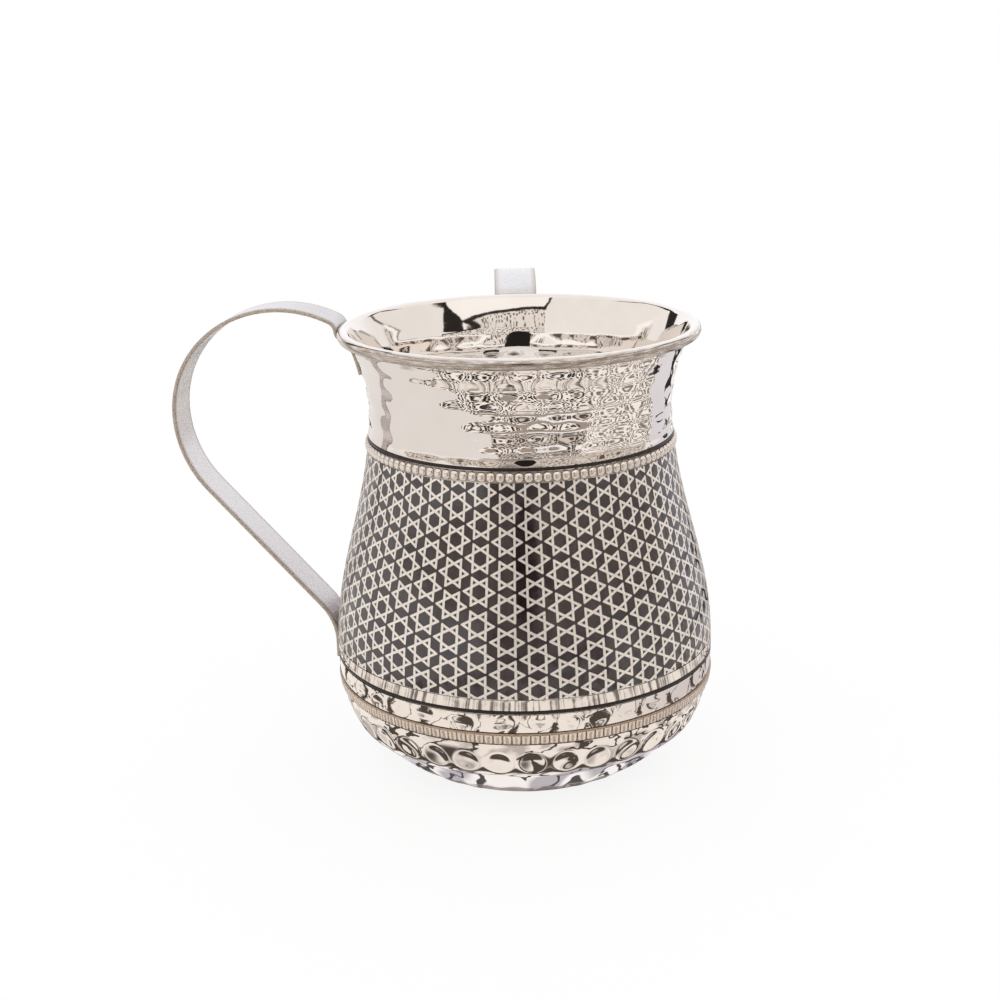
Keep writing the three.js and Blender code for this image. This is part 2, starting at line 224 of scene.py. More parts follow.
def neck_marks(angle, height):
    """Sum of bell-shaped dents. Each row is half a pitch round from the row below, and lies in a
    shallow cosine groove."""
    pitch = FULL_TURN / NECK_MARKS_ROUND
    dent = np.zeros(np.broadcast(angle, height).shape)
    step = (FLARE_HEIGHT - NECK_BOTTOM) / NECK_MARK_ROWS
    for row in range(NECK_MARK_ROWS):
        stray_up = chance.normal(0, NECK_STRAY_UP, NECK_MARKS_ROUND)
        stray_round = chance.normal(0, NECK_STRAY_ROUND, NECK_MARKS_ROUND)
        depth = NECK_MARK_DEPTH * chance.uniform(*NECK_DEPTH_SPREAD, NECK_MARKS_ROUND)
        centre_up = NECK_BOTTOM + (row + 0.5) * step + stray_up
        centre_round = (np.arange(NECK_MARKS_ROUND) + row % 2 / 2) * pitch + stray_round * pitch
        turn = (angle[..., None] - centre_round + math.pi) % FULL_TURN - math.pi
        across = turn * WAIST_RADIUS / NECK_MARK_ACROSS
        up = (height[..., None] - centre_up) / NECK_MARK_UP
        dent -= (depth * np.exp(-(across**2 + up**2) / 2)).sum(-1)
    dent -= NECK_ROW_DEPTH * (1 - np.cos(FULL_TURN * (height - NECK_BOTTOM) / step)) / 2
    fade_low = np.clip((height - NECK_BOTTOM) / NECK_FADE_LOW, 0, 1)
    fade_high = np.clip((FLARE_HEIGHT - height) / NECK_FADE_HIGH, 0, 1)
    return dent * (fade_low * fade_high)


# %% Marks on the heel and the bowl
HEEL_MARKS, HEEL_MARK_RADIUS, HEEL_MARK_DEPTH = 36, 4.5, 0.85
HEEL_MARK_HEIGHT, HEEL_MARK_POWER = 19.5, 1.35
HEEL_TURN = math.radians(0.9)
BAND_MARK_DEPTH, BAND_MARK_TALL = 0.16, 1.7
BAND_SWAY, BAND_SWAYS_ROUND = 1.3, 5
BAND_DRIFT, BAND_DRIFTS_ROUND = 0.6, 11
BOWL_FLATS, BOWL_FLAT_DEPTH = 30, 0.6


def heel_marks(angle, height):
    """One round dish for each pitch, measured straight from its middle, with a soft lip."""
    pitch = FULL_TURN / HEEL_MARKS
    turn = (angle - HEEL_TURN + pitch / 2) % pitch - pitch / 2
    across = cup_radius(height) * turn
    out = cup_radius(height) - cup_radius(HEEL_MARK_HEIGHT)
    away = np.sqrt(across**2 + out**2 + (height - HEEL_MARK_HEIGHT) ** 2) / HEEL_MARK_RADIUS
    return -HEEL_MARK_DEPTH * np.clip(1 - away**2, 0, 1) ** HEEL_MARK_POWER


def band_marks(angle, height):
    """The heel's row again, much fainter, where the blows have pushed the sheet above the ring."""
    sway = BAND_SWAY * np.sin(BAND_SWAYS_ROUND * angle)
    wave = (1 + np.cos(HEEL_MARKS * (angle - HEEL_TURN) + sway)) / 2
    middle = (MILLED[1] + LOWER_LINE[0]) / 2 + BAND_DRIFT * np.sin(BAND_DRIFTS_ROUND * angle)
    return -BAND_MARK_DEPTH * wave * np.exp(-(((height - middle) / BAND_MARK_TALL) ** 2))


def bowl_flats(angle, height):
    """Broad flats, deepest half way up the bowl, one cosine wave for each."""
    climb = np.sin(math.pi * np.clip(height / HEEL_HEIGHT, 0, 1))
    return -BOWL_FLAT_DEPTH * climb * (1 + np.cos(BOWL_FLATS * angle)) / 2


# %% [markdown]
# ## The body
# One sheet: flat base, bowl, heel, belly, hammered neck, and a rim that rolls outwards into an open
# curl. The profile runs up the outside, through the curl, and down the inside. Shallow seats are
# stepped into the outer face where the rings and the enamel lie.

# %% Rows of the body, from the base to the inside
BODY_COLUMNS = 512
BOWL_ROWS, HEEL_ROWS, BAND_ROWS, STEP_ROWS, NECK_ROWS = 12, 26, 9, 4, 50
NARROW_SEAT_ROWS, STAR_SEAT_ROWS = 2, 9
CURL_HOLLOW_ROWS, CURL_ROWS = 7, 19
BASE_EDGE, FIRST_ROW_UP = np.array([[1.2], [0.3]]), 0.25
body_angle = np.linspace(0, FULL_TURN, BODY_COLUMNS, endpoint=False)
body_rows = []


def add_rows(heights, proud=0.0, marks=None):
    """Adds one row of the outer face for each height, dented by the marks if there are any."""
    z, angle = np.meshgrid(heights, body_angle, indexing="ij")
    dent = proud if marks is None else proud + marks(angle, z)
    radius, height = face_point(z, dent)
    body_rows.append(turned(radius, height, angle))


def add_seat(bottom, top, rows):
    """Room for a ring: a step down to the seat's floor, its floor, and a step up again."""
    bottom, top = bottom - SEAT_GAP, top + SEAT_GAP
    add_rows([bottom])
    add_rows(np.linspace(bottom, top, rows), proud=-SEAT_DEPTH)
    add_rows([top])


def add_curl(radius, start, end, rows):
    """Part of a circle round the curl's own axis, as one row for each step of its angle."""
    lead = np.linspace(start, end, rows)[:, None]
    out, up = CURL_OUT + radius * np.cos(lead), CURL_UP + radius * np.sin(lead)
    body_rows.append(turned(out, up, body_angle))


CURL_START = math.pi - FLARE_LEAN
CURL_TURN = FULL_TURN - math.acos((CURL_HOLLOW - CURL_GAP) / CURL_RADIUS)
CURL_END = CURL_START - CURL_TURN
body_rows.append(turned(BASE_RADIUS - BASE_EDGE, 0, body_angle))
bowl_heights = np.linspace(FIRST_ROW_UP, HEEL_HEIGHT, BOWL_ROWS, endpoint=False)
add_rows(bowl_heights, marks=bowl_flats)
heel_heights = np.linspace(HEEL_HEIGHT, MILLED[0] - SEAT_GAP, HEEL_ROWS, endpoint=False)
add_rows(heel_heights, marks=heel_marks)
add_seat(*MILLED, NARROW_SEAT_ROWS)
band_heights = np.linspace(MILLED[1] + SEAT_GAP, LOWER_LINE[0] - SEAT_GAP, BAND_ROWS)
add_rows(band_heights[1:-1], marks=band_marks)
add_seat(*LOWER_LINE, NARROW_SEAT_ROWS)
add_rows(np.linspace(LOWER_LINE[1] + SEAT_GAP, STARS[0] - SEAT_GAP, STEP_ROWS)[1:-1])
add_seat(STARS[0], UPPER_LINE[1], STAR_SEAT_ROWS)
neck_heights = np.linspace(NECK_BOTTOM, FLARE_HEIGHT, NECK_ROWS)[1:]
add_rows(neck_heights, marks=neck_marks)
add_curl(CURL_HOLLOW, CURL_START, CURL_END, CURL_HOLLOW_ROWS)
add_curl(CURL_RADIUS, CURL_END, CURL_START, CURL_ROWS)

# %% The inside and the two ends
CALM_HEIGHTS, DENT_SHARES = (128.5, 132.0), (0.75, 0.06)
INSIDE_ROWS, FLOOR_ROWS = 19, 6
FLOOR_FROM, FLOOR_TO = 12, 1
FLOOR_EDGE = np.array([[1.5], [3.0]])
inside_start = sum(len(rows) for rows in body_rows)
# The neck's rows are followed by the curl's two parts. Its dents show inside too, but hardly any
# of their depth is left near the mouth.
inside_neck = body_rows[-3][::-1]
inside_radius = np.hypot(inside_neck[..., 0], inside_neck[..., 1])
plain_radius, plain_height = face_point(neck_heights[::-1, None], 0.0)
sunk = np.interp(plain_height, CALM_HEIGHTS, DENT_SHARES) * (inside_radius - plain_radius)
in_radius, in_height = face_point(neck_heights[::-1, None], -WALL)
body_rows.append(turned(in_radius + sunk, in_height, body_angle)[:-1:2])
add_rows(np.linspace(NECK_BOTTOM, HEEL_HEIGHT, INSIDE_ROWS), proud=-WALL)
add_rows(np.linspace(FLOOR_FROM, FLOOR_TO, FLOOR_ROWS), proud=-WALL)
body_rows.append(turned(BASE_RADIUS - FLOOR_EDGE, WALL, body_angle))
body_grid = np.concatenate(body_rows)
body_points = np.concatenate([body_grid.reshape(-1, 3), [[0, 0, 0], [0, 0, WALL]]])
last_ring = (len(body_grid) - 1) * BODY_COLUMNS
body_faces = [
    grid_faces(len(body_grid), BODY_COLUMNS, close_rows=False),
    pole_faces(len(body_points) - 2, 0, BODY_COLUMNS, facing_down=True),
    pole_faces(len(body_points) - 1, last_ring, BODY_COLUMNS, facing_down=False),
]
rows_inside = np.arange(len(body_grid)) >= inside_start
inside = np.concatenate([np.repeat(rows_inside, BODY_COLUMNS), [0, 1]])
body = make_piece("hammered_cup", body_points, body_faces, "cup_steel", "cup_body", inside=inside)

# %% [markdown]
# ## The star field
# On the real cup the stars are steel left standing, and dark enamel fills the ground round them.
# Each star is two triangles laid across each other, so it has six tips, a hexagon in the middle and
# a small triangle in each tip. The lattice has 42 columns, and every other column is shifted up by
# half a step.

# %% The enamel ground
GROUND_COLUMNS, GROUND_ROWS, GROUND_PROUD = 288, 40, -0.1
ground_angle = np.linspace(0, FULL_TURN, GROUND_COLUMNS, endpoint=False)


def closed_band(z, proud):
    """Points and faces of a ring whose face follows the cup and whose back lies in the seat."""
    face = face_point(z[:, None], np.broadcast_to(proud, z.shape)[:, None])
    back = face_point(z[::-1, None], RING_BACK)
    points = np.concatenate([turned(*face, ground_angle), turned(*back, ground_angle)])
    return points.reshape(-1, 3), grid_faces(len(points), GROUND_COLUMNS, close_rows=True)


def enamel_ring(name, bottom, top, rows, proud, node):
    points, faces = closed_band(np.linspace(bottom, top, rows), proud)
    return make_piece(name, points, [faces], "dark_enamel", node)


ground = enamel_ring("star_ground", *STARS, GROUND_ROWS, GROUND_PROUD, "star_field_enamel")

# %% One star as a flat plate
TIP, BLUNT = 5.0, 0.17
NOTCH_OUT, NOTCH_ASIDE = 2.65, 1.53
HOLE_BASE, HOLE_TIP, HOLE_ASIDE = 2.74, 3.84, 0.63
HEX_OUT, HEX_ASIDE = 1.98, 1.143
STRAP_FOOT = -0.14
TIPS = 6


def star_plate(centre):
    """Outline points and faces of one star, flat, with its six tips 60 degrees apart."""
    sixth = np.array(
        [
            [TIP, -BLUNT], [TIP, BLUNT], [NOTCH_OUT, NOTCH_ASIDE], [HOLE_TIP, 0],
            [HOLE_BASE, -HOLE_ASIDE], [HOLE_BASE, HOLE_ASIDE], [HEX_OUT, HEX_ASIDE],
        ]
    )
    turn = np.radians(60) * np.arange(TIPS)
    spin = np.stack([np.cos(turn), -np.sin(turn), np.sin(turn), np.cos(turn)], -1)
    points = np.einsum("tij,pj->tpi", spin.reshape(TIPS, 2, 2), sixth).reshape(-1, 2) + centre
    numbers = np.arange(len(points)).reshape(TIPS, len(sixth)).tolist()
    faces = []
    for tip in range(TIPS):
        t0, t1, notch, hole, h0, h1, hexa = numbers[tip]
        _, _, notch0, _, _, _, hexa0 = numbers[tip - 1]
        faces += [
            (t1, notch, h1, hole), (t0, hole, h0, notch0), (t0, t1, hole),
            (hexa0, notch0, h0), (hexa0, h0, h1, hexa), (hexa, h1, notch),
        ]
    return points, faces


# %% A column of stars, cut straight at both borders
STAR_COLUMNS = 42
COLUMN_TURN = FULL_TURN / STAR_COLUMNS
COLUMN_WIDTH = 8.366
EVEN_STARS = (-2.05, 7.6, 17.2, 27.0, 36.6, 46.3, 56.0, 65.65)
ODD_STARS = (2.65, 12.2, 21.8, 31.6, 41.3, 51.0, 60.6)
fine = np.linspace(*STARS, 400)
fine_arc = np.concatenate([[0], np.cumsum(np.hypot(np.diff(cup_radius(fine)), np.diff(fine)))])
FIELD_ARC = fine_arc[-1]


def star_column(centres):
    """Plates of one column made thick, then cut at the two borders and closed there."""
    made = bmesh.new()
    for up in centres:
        points, faces = star_plate(np.array([0, up]))
        top = [made.verts.new((x, y, 0)) for x, y in points]
        foot = [made.verts.new((x, y, STRAP_FOOT)) for x, y in points]
        for face in faces:
            made.faces.new([top[i] for i in face])
            made.faces.new([foot[i] for i in reversed(face)])
        edges = dict.fromkeys(edge for face in faces for edge in zip(face, face[1:] + face[:1]))
        for a, b in edges:
            if (b, a) not in edges:
                made.faces.new([top[b], top[a], foot[a], foot[b]])
    for level, side in ((0.0, -1), (FIELD_ARC, 1)):
        everything = made.verts[:] + made.edges[:] + made.faces[:]
        cut = bmesh.ops.bisect_plane(
            made, geom=everything, plane_co=(0, level, 0), plane_no=(0, side, 0), clear_outer=True
        )
        rim = [e for e in cut["geom_cut"] if isinstance(e, bmesh.types.BMEdge)]
        if rim:
            bmesh.ops.edgeloop_fill(made, edges=rim)
    bmesh.ops.recalc_face_normals(made, faces=made.faces[:])
    bmesh.ops.triangulate(made, faces=made.faces[:])
    made.verts.index_update()
    flat = np.array([v.co[:] for v in made.verts])
    corners = np.array([[v.index for v in f.verts] for f in made.faces])
    made.free()
    return flat, corners


def bent_columns(flat, corners, first_azimuth, count):
    """Bends a flat column round the cup, once for each second column of the lattice."""
    z = np.interp(flat[:, 1], fine_arc, fine)
    radius, height = face_point(z, flat[:, 2])
    middle = first_azimuth - QUARTER_TURN + np.arange(count)[:, None] * 2 * COLUMN_TURN
    angle = middle + flat[:, 0] * COLUMN_TURN / COLUMN_WIDTH
    points = turned(radius, height, angle)
    shift = np.arange(count)[:, None, None] * len(flat)
    return points.reshape(-1, 3), (corners + shift).reshape(-1, 3)


EVEN_AZIMUTH = math.radians(-5.84)
ODD_AZIMUTH = EVEN_AZIMUTH + COLUMN_TURN
HALF = STAR_COLUMNS // 2
even_points, even_faces = bent_columns(*star_column(EVEN_STARS), EVEN_AZIMUTH, HALF)
odd_points, odd_faces = bent_columns(*star_column(ODD_STARS), ODD_AZIMUTH, HALF)
lattice_points = np.concatenate([even_points, odd_points])
lattice_faces = np.concatenate([even_faces, odd_faces + len(even_points)])
lattice = make_piece("star_lattice", lattice_points, [lattice_faces], "cup_steel")

# %% [markdown]
# ## Rings and lines
# Two narrow enamel lines, a ring of pearls above the stars, and a ring of upright tongues above the
# heel. The lines sink a little at their edges, as enamel does when it shrinks. A pearl is half an
# egg with a squarish outline. The tongues come from one formula: a deep groove between two of them,
# and a shallow hollow down the middle of each.

# %% The two enamel lines
LINE_ROWS, LINE_SINK = 9, 0.06
line_crown = LINE_SINK * np.sin(np.linspace(0, math.pi, LINE_ROWS)) ** 0.5 - LINE_SINK
upper_line = enamel_ring("upper_line", *UPPER_LINE, LINE_ROWS, line_crown, "upper_enamel_line")
lower_line = enamel_ring("lower_line", *LOWER_LINE, LINE_ROWS, line_crown, "lower_enamel_line")

# %% The pearl ring
PEARL_COUNT, PEARL_WIDE, PEARL_TALL, PEARL_PROUD = 110, 2.62, 3.05, 0.8
PEARL_POWER, PEARL_ROOT = 2.5, 0.1
PEARL_STEPS_ROUND, PEARL_STEPS_UP = 14, 6
STRIP_PROUD, STRIP_ROWS = 0.05, 3
pearl_round = np.linspace(0, FULL_TURN, PEARL_STEPS_ROUND, endpoint=False)
pearl_rise = np.linspace(0, QUARTER_TURN, PEARL_STEPS_UP)[:-1]


def pearl_ring():
    """Domes on a flat strip: across = half width x cos(rise), height out = proud x sin(rise).
    Their outline is an oval pushed a little towards a square, so that neighbours nearly touch."""
    strip, strip_faces = closed_band(np.linspace(*PEARLS, STRIP_ROWS), STRIP_PROUD)
    ring, rise = np.meshgrid(pearl_round, pearl_rise)
    powers = np.abs(np.cos(ring)) ** PEARL_POWER + np.abs(np.sin(ring)) ** PEARL_POWER
    square = powers ** (-1 / PEARL_POWER)
    aside = np.append(np.cos(rise) * np.cos(ring) * square * PEARL_WIDE / 2, 0)
    up = np.append(np.cos(rise) * np.sin(ring) * square * PEARL_TALL / 2, 0)
    whole = PEARL_PROUD + PEARL_ROOT
    out = np.append(np.sin(rise) * whole, whole) - PEARL_ROOT + STRIP_PROUD
    middle = sum(PEARLS) / 2
    radius, height = face_point(middle + up, out)
    turn = np.arange(PEARL_COUNT)[:, None] * FULL_TURN / PEARL_COUNT + aside / cup_radius(middle)
    domes = turned(radius, height, turn)
    rows, columns = len(pearl_rise), len(pearl_round)
    dome_faces = grid_faces(rows, columns, close_rows=False)
    cap = pole_faces(rows * columns, (rows - 1) * columns, columns, facing_down=False)
    shift = np.arange(PEARL_COUNT)[:, None, None] * (rows * columns + 1) + len(strip)
    depth = np.clip(out / PEARL_PROUD, 0, 1)
    marks = np.concatenate([np.zeros(len(strip)), np.tile(depth, PEARL_COUNT)])
    points = np.concatenate([strip, domes.reshape(-1, 3)])
    faces = [strip_faces, (dome_faces + shift).reshape(-1, 4), (cap + shift).reshape(-1, 3)]
    return points, faces, marks


pearl_points, pearl_faces, pearl_marks = pearl_ring()
pearls = make_piece(
    "pearl_ring", pearl_points, pearl_faces, "pearl_trim", "upper_pearl_ring",
    sharp_angle=50, relief=pearl_marks,
)

# %% The milled ring
TONGUES, TONGUE_SAMPLES = 136, 12
TONGUE_TURN = math.radians(0.35)
TONGUE_ROOT, TONGUE_PROUD = 0.02, 0.48
TONGUE_END, HOLLOW_DEPTH, BORDER_SHARE = 0.22, 0.5, 0.62


def soft_step(low, high, value):
    """Smooth rise from 0 to 1 between two values: 3t squared minus 2t cubed."""
    t = np.clip((value - low) / (high - low), 0, 1)
    return t * t * (3 - 2 * t)


def tongue_relief(angle, climb):
    """0 in the groove, 1 on the crest. A tongue ends round below, and its crest closes over the
    hollow in an arch under the border."""
    place = ((angle - TONGUE_TURN) * TONGUES / FULL_TURN) % 1
    side = np.abs(place - 0.5) * 2
    drop = np.clip((TONGUE_END - climb) / TONGUE_END, 0, 1)
    groove = soft_step(1.02, 0.7, np.hypot(side, drop))
    hollow = soft_step(0.5, 0.15, side) * soft_step(0.86, 0.66, climb + 0.25 * side)
    crest = groove * (1 - HOLLOW_DEPTH * hollow)
    border = soft_step(0.84, 0.9, climb)
    return crest * (1 - border) + BORDER_SHARE * border


milled_columns = TONGUES * TONGUE_SAMPLES
milled_climb = np.array(
    [0, 0.04, 0.08, 0.12, 0.17, 0.25, 0.4, 0.55, 0.66, 0.74, 0.8, 0.85, 0.9, 0.97, 1.0]
)
milled_angle = np.linspace(0, FULL_TURN, milled_columns, endpoint=False)
climb_grid, angle_grid = np.meshgrid(milled_climb, milled_angle, indexing="ij")
relief = tongue_relief(angle_grid, climb_grid)
milled_z = MILLED[0] + (MILLED[1] - MILLED[0]) * climb_grid
milled_face = turned(*face_point(milled_z, TONGUE_ROOT + TONGUE_PROUD * relief), angle_grid)
milled_back = turned(*face_point(np.array(MILLED[::-1])[:, None], RING_BACK), milled_angle)
back_marks = np.zeros(2 * milled_columns)
milled = make_piece(
    "milled_ring",
    np.concatenate([milled_face, milled_back]),
    [grid_faces(len(milled_climb) + 2, milled_columns, close_rows=True)],
    "milled_trim",
    "lower_milled_ring",
    sharp_angle=60,
    relief=np.concatenate([relief.ravel(), back_marks]),
    climb=np.concatenate([climb_grid.ravel(), back_marks]),
)

# %% [markdown]
# ## The strip handles
# Each handle is one strip, bent round a former: up the neck, out under the curl and round it, over
# in a loop, and back down to the belly. A section with rounded edges is carried along that line.
# The two feet are saddled, so that they lie on the round of the cup.

# %% The line that the strip follows
STRIP_WIDTH, STRIP_THICK, WELD_GAP = 14.2, 1.2, 0.3
STAND_OFF = WELD_GAP + STRIP_THICK / 2
LOOP_OUT, LOOP_RISE, LOOP_RADIUS, LOOP_SHARE = 54.8, 4.7, 36, 0.944
NECK_FOOT_DROP, NECK_BEND, BELLY_BEND, BELLY_FOOT = 15.2, 1.5, 18, 5.8
NECK_FOOT_STEPS, BELLY_FOOT_STEPS = 14, 7
WRAP_RADIUS = CURL_RADIUS + STAND_OFF
SIDE_RADIUS = CURL_OUT + WRAP_RADIUS
LOOP_RADII = (LOOP_RADIUS, LOOP_RADIUS * LOOP_SHARE)
LOOP_CENTRE = (MOUTH_RADIUS + LOOP_OUT - LOOP_RADIUS, CUP_HEIGHT + LOOP_RISE - LOOP_RADII[1])


def arc(centre, radii, start, end, steps, saddles=(0, 0)):
    """Points round part of an oval or a circle, with the saddle's share in a third column."""
    radii = np.broadcast_to(radii, 2)
    lead = np.linspace(start, end, steps)
    out, up = centre[0] + radii[0] * np.cos(lead), centre[1] + radii[1] * np.sin(lead)
    return np.stack([out, up, np.linspace(*saddles, steps)], -1)


def neck_foot():
    """Up the neck, then a tight bend that turns the strip level below the curl."""
    level = CURL_UP - WRAP_RADIUS
    lead_at = lambda z: math.atan2(1, cup_slope(z))
    rise_at = lambda z: NECK_BEND * (1 - math.cos(lead_at(z)))
    top = bisect(WAIST_HEIGHT, CURL_UP, lambda z: face_point(z, STAND_OFF)[1] + rise_at(z) - level)
    heights = np.linspace(CUP_HEIGHT - NECK_FOOT_DROP, top, NECK_FOOT_STEPS)
    foot = np.stack([*face_point(heights, STAND_OFF), np.ones(NECK_FOOT_STEPS)], -1)
    lead = lead_at(top)
    centre = (foot[-1, 0] + NECK_BEND * math.sin(lead), level - NECK_BEND)
    start = lead + QUARTER_TURN
    bend = arc(centre, NECK_BEND, start, QUARTER_TURN, steps=8, saddles=(1, 1))
    return np.concatenate([foot, bend[1:]])


def loop_entry(angle):
    """The bend that rises beside the curl and meets the loop's oval smoothly at this angle."""
    out = LOOP_CENTRE[0] + LOOP_RADII[0] * math.cos(angle)
    up = LOOP_CENTRE[1] + LOOP_RADII[1] * math.sin(angle)
    lead = math.atan2(-LOOP_RADII[1] * math.cos(angle), LOOP_RADII[0] * math.sin(angle))
    radius = (out - SIDE_RADIUS) / (1 - math.sin(lead))
    return lead, radius, up - radius * math.cos(lead)


def belly_foot():
    """The run leaves the loop at the angle that lets the last bend end where the foot starts."""
    bottom = MILLED[1] + SEAT_GAP + WELD_GAP
    top = bottom + BELLY_FOOT
    foot_out = max(cup_radius(bottom), cup_radius(top)) + STAND_OFF

    def bend_end(steep):
        out = LOOP_CENTRE[0] + LOOP_RADIUS * math.sin(steep)
        up = LOOP_CENTRE[1] - LOOP_RADIUS * math.cos(steep)
        meet = up - (out - foot_out) * math.tan(steep)
        return meet - BELLY_BEND * math.tan((QUARTER_TURN - steep) / 2)

    steep = bisect(QUARTER_TURN / 4, QUARTER_TURN * 3 / 4, lambda angle: top - bend_end(angle))
    centre = (foot_out + BELLY_BEND, top)
    bend = arc(centre, BELLY_BEND, QUARTER_TURN + steep, math.pi, steps=16, saddles=(0, 1))
    down = np.linspace(top, bottom, BELLY_FOOT_STEPS)
    foot = np.stack([np.full_like(down, foot_out), down, np.ones_like(down)], -1)
    return steep, np.concatenate([bend, foot[1:]])


def strip_line():
    """The strip's middle line in its own upright plane: out, up and saddle share."""
    last = math.acos((SIDE_RADIUS - LOOP_CENTRE[0]) / LOOP_RADII[0])
    angle = bisect(QUARTER_TURN, last, lambda a: loop_entry(a)[2] - CURL_UP)
    lead, radius, _ = loop_entry(angle)
    steep, lower = belly_foot()
    wrap = arc((CURL_OUT, CURL_UP), WRAP_RADIUS, -QUARTER_TURN, 0, steps=12, saddles=(1, 1))
    centre = (SIDE_RADIUS + radius, CURL_UP)
    entry = arc(centre, radius, math.pi, QUARTER_TURN + lead, steps=12, saddles=(1, 0))
    over = arc(LOOP_CENTRE, LOOP_RADII, angle, 0, steps=44)
    under = arc(LOOP_CENTRE, LOOP_RADIUS, 0, steep - QUARTER_TURN, steps=14)
    run = np.linspace(under[-1], lower[0], 10)[1:-1]
    return np.concatenate([neck_foot(), wrap[1:], entry[1:], over[1:], under[1:], run, lower])


# %% The section and the two strips
EDGE_RADIUS, EDGE_STEPS, FLAT_STEPS = 0.42, 5, 10
WORN_WIDTH, WORN_FADE = 0.75, 0.45
SIDE_AZIMUTH, REAR_AZIMUTH = 171, 90


def strip_section():
    """A flat strip's outline with rounded edges, as offset across and height out of the middle."""
    half_wide, half_thick = STRIP_WIDTH / 2 - EDGE_RADIUS, STRIP_THICK / 2 - EDGE_RADIUS
    flat = np.linspace(-half_wide, half_wide, FLAT_STEPS)
    lead = np.linspace(QUARTER_TURN, -QUARTER_TURN, 2 * EDGE_STEPS)[1:-1]
    edge_up = np.sign(np.sin(lead)) * half_thick + EDGE_RADIUS * np.sin(lead)
    edge_out = half_wide + EDGE_RADIUS * np.cos(lead)
    upper = np.stack([flat, np.full(FLAT_STEPS, STRIP_THICK / 2)], -1)
    right = np.stack([edge_out, edge_up], -1)
    return np.concatenate([upper, right, -upper, -right])


def strip_handle(name, azimuth_degrees, node):
    """The section carried along the line, square to it, and turned round the cup to its place."""
    line = strip_line()
    ahead, behind = np.roll(line, -1, 0), np.roll(line, 1, 0)
    ahead[-1], behind[0] = line[-1], line[0]
    run = ahead - behind
    reach = np.hypot(run[:, 0], run[:, 1])
    normal = np.stack([run[:, 1], -run[:, 0]], -1) / reach[:, None]
    section = strip_section()
    offset, lift = section[:, 0], section[:, 1]
    sag = (line[:, :1] - np.sqrt(line[:, :1] ** 2 - offset**2)) * line[:, 2:3]
    out = line[:, :1] + normal[:, :1] * lift - sag
    up = line[:, 1:2] + normal[:, 1:2] * lift
    turn = math.radians(azimuth_degrees)
    x = out * math.cos(turn) - offset * math.sin(turn)
    y = out * math.sin(turn) + offset * math.cos(turn)
    points = np.stack([x, y, up], -1)
    stations, around = points.shape[:2]
    faces = grid_faces(stations, around, close_rows=False)[:, ::-1]
    loop = np.arange(around)
    ends = np.stack([loop, loop[::-1] + (stations - 1) * around])
    length = np.concatenate([[0], np.cumsum(np.hypot(*np.diff(line[:, :2], axis=0).T))])
    edge = np.clip((np.abs(offset) - (STRIP_WIDTH / 2 - WORN_WIDTH)) / WORN_FADE, 0, 1)
    strip = np.stack(np.broadcast_arrays(offset[None], length[:, None], edge[None]), -1)
    marks = {"strip": strip.reshape(-1, 3), "inner": np.tile(lift > 0, stations)}
    return make_piece(name, points, [faces, ends], "handle_steel", node, sharp_angle=40, **marks)


side_strip = strip_handle("side_strip", SIDE_AZIMUTH, "side_handle")
rear_strip = strip_handle("rear_strip", REAR_AZIMUTH, "rear_handle")

# %% [markdown]
# ## Shader maths in plain Python
# A finish is a tree of nodes. One small class wraps a node's output, so that sums on values are
# written as sums, and one method makes every other kind of node.

# %% The wrapper
MIX_FIRST, MIX_SECOND, MIX_COLOUR_OUT = 6, 7, 2


class Wire:
    """One output of a node. Arithmetic on it adds Math nodes, and node() adds any other kind."""

    def __init__(self, tree, socket=None):
        self.tree, self.socket = tree, socket

    def node(self, kind, inputs=None, output=0, **settings):
        """Makes a node: its settings first, then the values or links of its sockets."""
        made = self.tree.nodes.new("ShaderNode" + kind)
        for key, value in settings.items():
            setattr(made, key, value)
        for key, value in (inputs or {}).items():
            if isinstance(value, Wire):
                self.tree.links.new(value.socket, made.inputs[key])
            else:
                made.inputs[key].default_value = value
        return Wire(self.tree, made.outputs[output] if made.outputs else None)

    def math(self, operation, *others):
        return self.node("Math", dict(enumerate((self, *others))), operation=operation)

    def __add__(self, other): return self.math("ADD", other)
    def __radd__(self, other): return self.math("ADD", other)
    def __sub__(self, other): return self.math("SUBTRACT", other)
    def __rsub__(self, other): return self.node("Math", {0: other, 1: self}, operation="SUBTRACT")
    def __mul__(self, other): return self.math("MULTIPLY", other)
    def __rmul__(self, other): return self.math("MULTIPLY", other)
    def __neg__(self): return self.math("MULTIPLY", -1)

    def step(self, low, high):
        """0 below low, 1 above high, smooth between. With low above high it falls instead."""
        inputs = {0: self, 1: low, 2: high, 3: 0.0, 4: 1.0}
        return self.node("MapRange", inputs, interpolation_type="SMOOTHSTEP")

    def window(self, low, high, soft):
        """1 between low and high, 0 outside, with soft edges of that width."""
        return self.step(low - soft, low + soft) * self.step(high + soft, high - soft)

    def mix(self, first, second):
        """A colour that goes from first to second as this value goes from 0 to 1."""
        first = first if isinstance(first, Wire) else (*first, 1)
        second = second if isinstance(second, Wire) else (*second, 1)
        inputs = {0: self, MIX_FIRST: first, MIX_SECOND: second}
        return self.node("Mix", inputs, MIX_COLOUR_OUT, data_type="RGBA")


# %% Values that patterns are made of
def parts_of(vector):
    """The three numbers of a vector, as three wires."""
    first = vector.node("SeparateXYZ", {0: vector})
    return [Wire(vector.tree, output) for output in first.socket.node.outputs]


def mark_of(place, name, output="Fac"):
    """What make_piece wrote on the points under this name."""
    return place.node("Attribute", None, output, attribute_name=name)


def noise(place, scale, detail=2.0, roughness=0.5):
    """Soft random cloud from 0 to 1, with this many lumps to the metre."""
    inputs = {"Vector": place, "Scale": scale, "Detail": detail, "Roughness": roughness}
    return place.node("TexNoise", inputs, "Fac")


